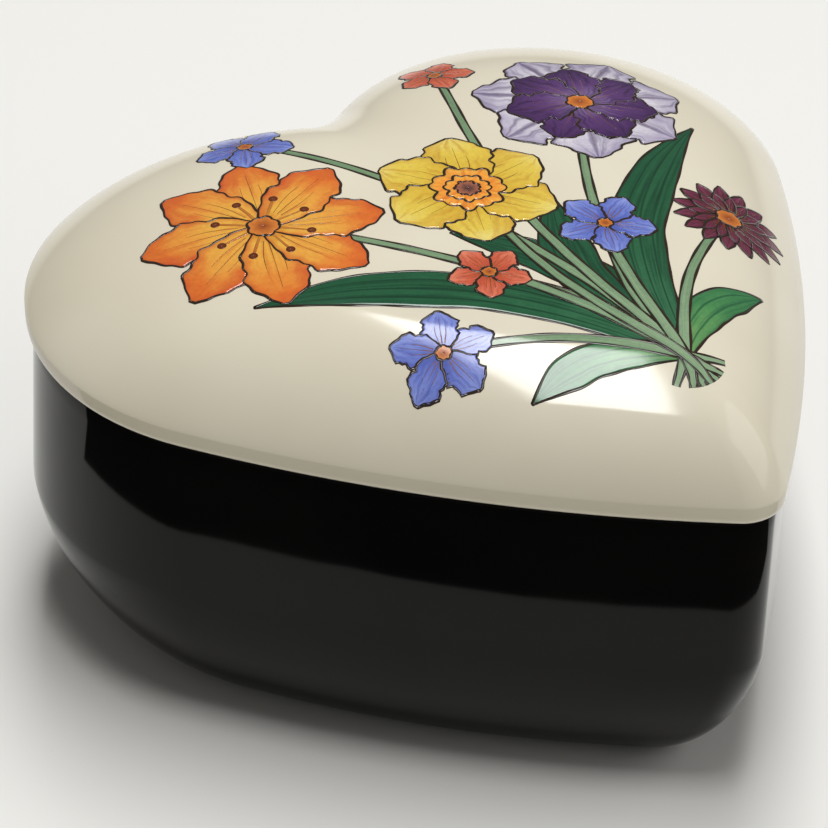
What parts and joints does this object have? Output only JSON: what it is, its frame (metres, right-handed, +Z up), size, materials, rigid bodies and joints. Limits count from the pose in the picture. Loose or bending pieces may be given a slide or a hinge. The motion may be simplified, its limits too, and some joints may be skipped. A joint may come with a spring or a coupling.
{
  "type": "heart-shaped trinket box",
  "caption": "Heart-shaped ceramic trinket box: a deep dish on a foot ring and a domed lid with a locating flange that lifts off.",
  "frame": {"origin": "on the resting plane, under the middle of the lid's outline", "axes": "+Z up, the heart's tip along -Y, its lobes along +Y, +X across the lobes"},
  "size_m": [0.11, 0.1014, 0.0614],
  "materials": {
    "black_glaze": "glossy black glaze, unglazed foot ring",
    "ivory_glaze": "glossy ivory glaze with a fired-on floral transfer"
  },
  "bodies": {
    "dish": {"dish": "black_glaze"},
    "lid": {"lid": "ivory_glaze"}
  },
  "joints": [
    {"name": "lid_lift", "type": "slide", "parent": "dish", "child": "lid", "axis": [0, 0, 1], "range_m": [0, 0.06]}
  ]
}
